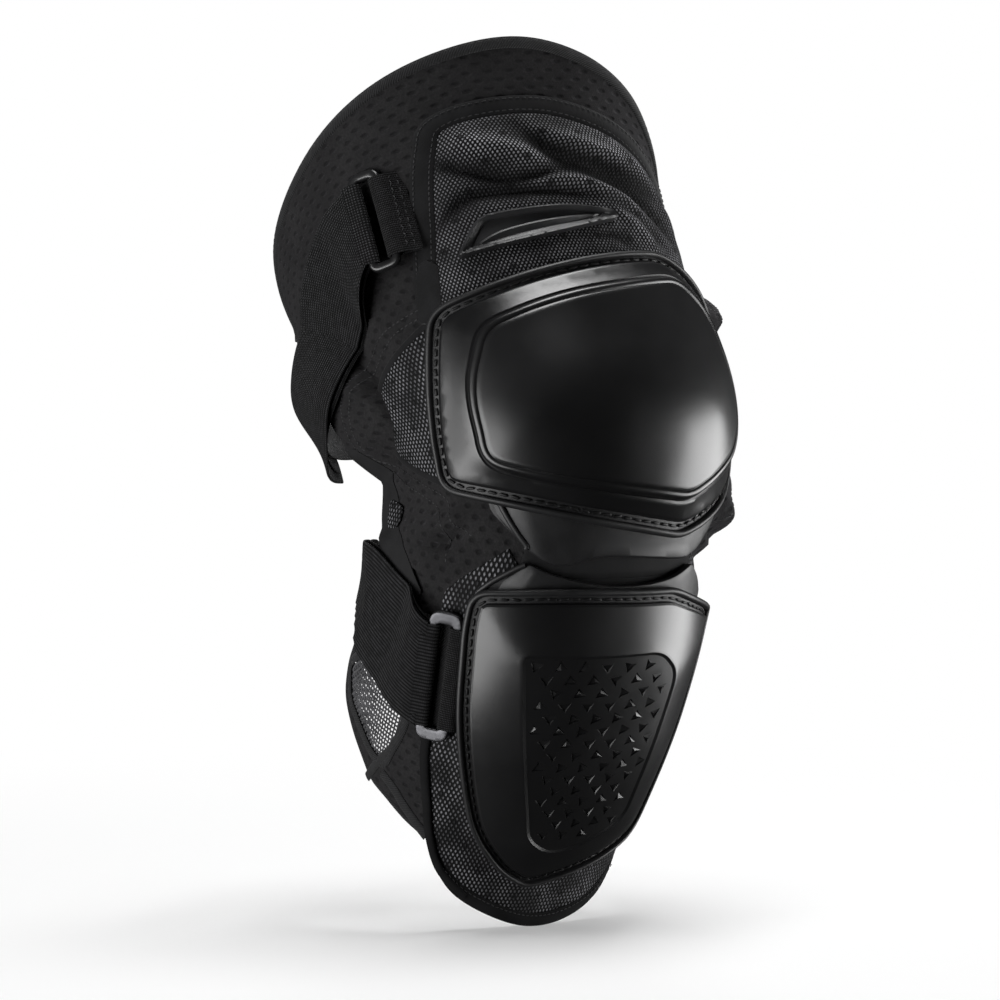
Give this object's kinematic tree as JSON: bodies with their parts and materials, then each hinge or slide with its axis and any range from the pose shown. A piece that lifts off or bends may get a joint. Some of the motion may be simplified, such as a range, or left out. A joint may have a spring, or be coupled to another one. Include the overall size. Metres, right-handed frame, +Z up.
{
  "type": "knee and shin guard",
  "caption": "Black off-road knee and shin guard with a hard knee cup, an articulated shin plate, a padded mesh thigh cuff and elastic straps with ring buckles.",
  "frame": {"origin": "the wearer's knee joint centre, inside the guard, level with the middle of the knee cup", "axes": "+Z up the leg towards the hip, -Y the way the knee cup faces, -X the outer side of the right leg, where both buckles are"},
  "size_m": [0.1968, 0.2202, 0.4426],
  "materials": {
    "dimpled_fabric": "matt, dimpled, suede-like",
    "spacer_mesh": "matt honeycomb spacer mesh",
    "open_mesh": "open net, grey",
    "edge_binding": "matt, stitched",
    "ribbed_elastic": "matt, ribbed",
    "foam": "matt, fabric-covered foam",
    "hard_shell": "satin",
    "moulded_rubber": "satin-matt",
    "webbing": "ribbed elastic weave",
    "hook_tape": "matt hook tape",
    "black_plastic": "semi-gloss",
    "gunmetal": "gunmetal, semi-gloss"
  },
  "bodies": {
    "shin": {"shin_liner": "dimpled_fabric", "shin_pad": "spacer_mesh", "shin_hem": "edge_binding", "shin_plate_frame": "moulded_rubber", "shin_plate_shell": "hard_shell", "lower_link_plate": "moulded_rubber", "calf_wing_outer": "dimpled_fabric", "calf_wing_inner": "dimpled_fabric", "calf_window_outer": "open_mesh", "calf_window_inner": "open_mesh", "lower_side_gusset_outer": "dimpled_fabric", "lower_side_gusset_inner": "dimpled_fabric", "lower_anchor_webbing": "webbing", "lower_strap": "webbing", "lower_strap_patch": "webbing"},
    "knee": {"knee_liner": "dimpled_fabric", "knee_pad": "foam", "knee_cup_frame": "moulded_rubber", "knee_cup_shell": "hard_shell", "upper_link_plate": "moulded_rubber", "link_gusset": "ribbed_elastic", "knee_side_mesh_outer": "spacer_mesh", "knee_side_mesh_inner": "spacer_mesh"},
    "thigh": {"thigh_liner": "dimpled_fabric", "thigh_binding": "edge_binding", "thigh_pad": "spacer_mesh", "thigh_pad_border": "dimpled_fabric", "thigh_vent": "moulded_rubber", "upper_side_gusset_outer": "dimpled_fabric", "upper_side_gusset_inner": "dimpled_fabric", "upper_anchor_webbing": "webbing", "upper_strap": "webbing", "upper_strap_patch": "webbing"},
    "upper_buckle": {"upper_buckle": "black_plastic", "upper_strap_fold": "webbing"},
    "upper_tab": {"upper_strap_tab": "webbing", "upper_hook_patch": "hook_tape"},
    "lower_buckle": {"lower_buckle": "gunmetal", "lower_strap_fold": "webbing"},
    "lower_tab": {"lower_strap_tab": "webbing", "lower_hook_patch": "hook_tape"}
  },
  "joints": [
    {"name": "knee_cup_tilt", "type": "hinge", "parent": "shin", "child": "knee", "pos_m": [0, 0, 0], "axis": [-1, 0, 0], "range_deg": [-1.6, 13.6], "deforming": ["lower_side_gusset_outer", "lower_side_gusset_inner", "link_gusset"]},
    {"name": "thigh_flex", "type": "hinge", "parent": "knee", "child": "thigh", "pos_m": [0, 0, 0], "axis": [-1, 0, 0], "range_deg": [-2, 17], "deforming": ["upper_side_gusset_outer", "upper_side_gusset_inner"]},
    {"name": "upper_buckle_swing", "type": "hinge", "parent": "thigh", "child": "upper_buckle", "pos_m": [-0.0929, -0.01261, 0.1177], "axis": [-0.05, 0.4141, 0.9089], "range_deg": [0, 20]},
    {"name": "upper_tab_peel", "type": "hinge", "parent": "upper_buckle", "child": "upper_tab", "pos_m": [-0.10089, -0.00344, 0.11309], "axis": [-0.05, 0.4141, 0.9089], "range_deg": [0, 80]},
    {"name": "lower_buckle_swing", "type": "hinge", "parent": "shin", "child": "lower_buckle", "pos_m": [-0.07043, -0.03786, -0.10813], "axis": [0.0045, -0.2452, 0.9695], "range_deg": [0, 20]},
    {"name": "lower_tab_peel", "type": "hinge", "parent": "lower_buckle", "child": "lower_tab", "pos_m": [-0.07911, -0.02848, -0.10571], "axis": [0.0045, -0.2452, 0.9695], "range_deg": [0, 80]}
  ],
  "couplings": [
    {"joint": "knee_cup_tilt", "follows": "thigh_flex", "ratio": 0.8}
  ]
}
